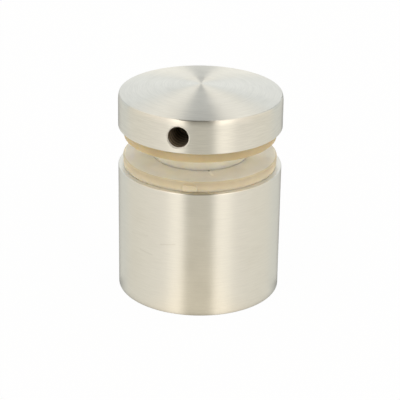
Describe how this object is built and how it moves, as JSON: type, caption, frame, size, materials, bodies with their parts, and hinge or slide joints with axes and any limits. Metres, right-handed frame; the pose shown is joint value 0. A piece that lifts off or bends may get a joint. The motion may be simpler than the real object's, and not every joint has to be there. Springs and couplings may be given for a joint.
{
  "type": "glass panel standoff",
  "caption": "Round turned standoff that holds a glass panel off a wall: a solid body, two soft gaskets, a bush and a screw-on domed cap with a tommy bar hole in its rim.",
  "frame": {"origin": "centre of the body's flat wall face, which the standoff also stands on", "axes": "+Z along the stud from the wall to the cap; -Y out of the tommy bar hole in the cap's rim; +X to the right of that hole"},
  "size_m": [0.05, 0.05, 0.0657],
  "materials": {
    "body_steel": "satin turned stainless steel",
    "cap_steel": "satin turned stainless steel with concentric tool marks",
    "stud_steel": "rolled thread, dull",
    "amber_gasket": "translucent amber moulded rubber",
    "cream_gasket": "translucent cream moulded rubber",
    "bush_plastic": "moulded natural plastic"
  },
  "bodies": {
    "base": {"base_body": "body_steel", "lower_gasket": "cream_gasket", "glass_bush": "bush_plastic"},
    "front_ring": {"upper_gasket": "amber_gasket"},
    "cap": {"clamp_cap": "cap_steel", "cap_stud": "stud_steel"}
  },
  "joints": [
    {"name": "cap_lift", "type": "slide", "parent": "base", "child": "front_ring", "axis": [0, 0, 1], "range_m": [0, 0.0125]},
    {"name": "cap_turn", "type": "hinge", "parent": "front_ring", "child": "cap", "pos_m": [0, 0, 0.0526], "axis": [0, 0, 1], "range_deg": [0, 3000]}
  ],
  "couplings": [
    {"joint": "cap_lift", "follows": "cap_turn", "m_per_rad": 0.00023873}
  ]
}
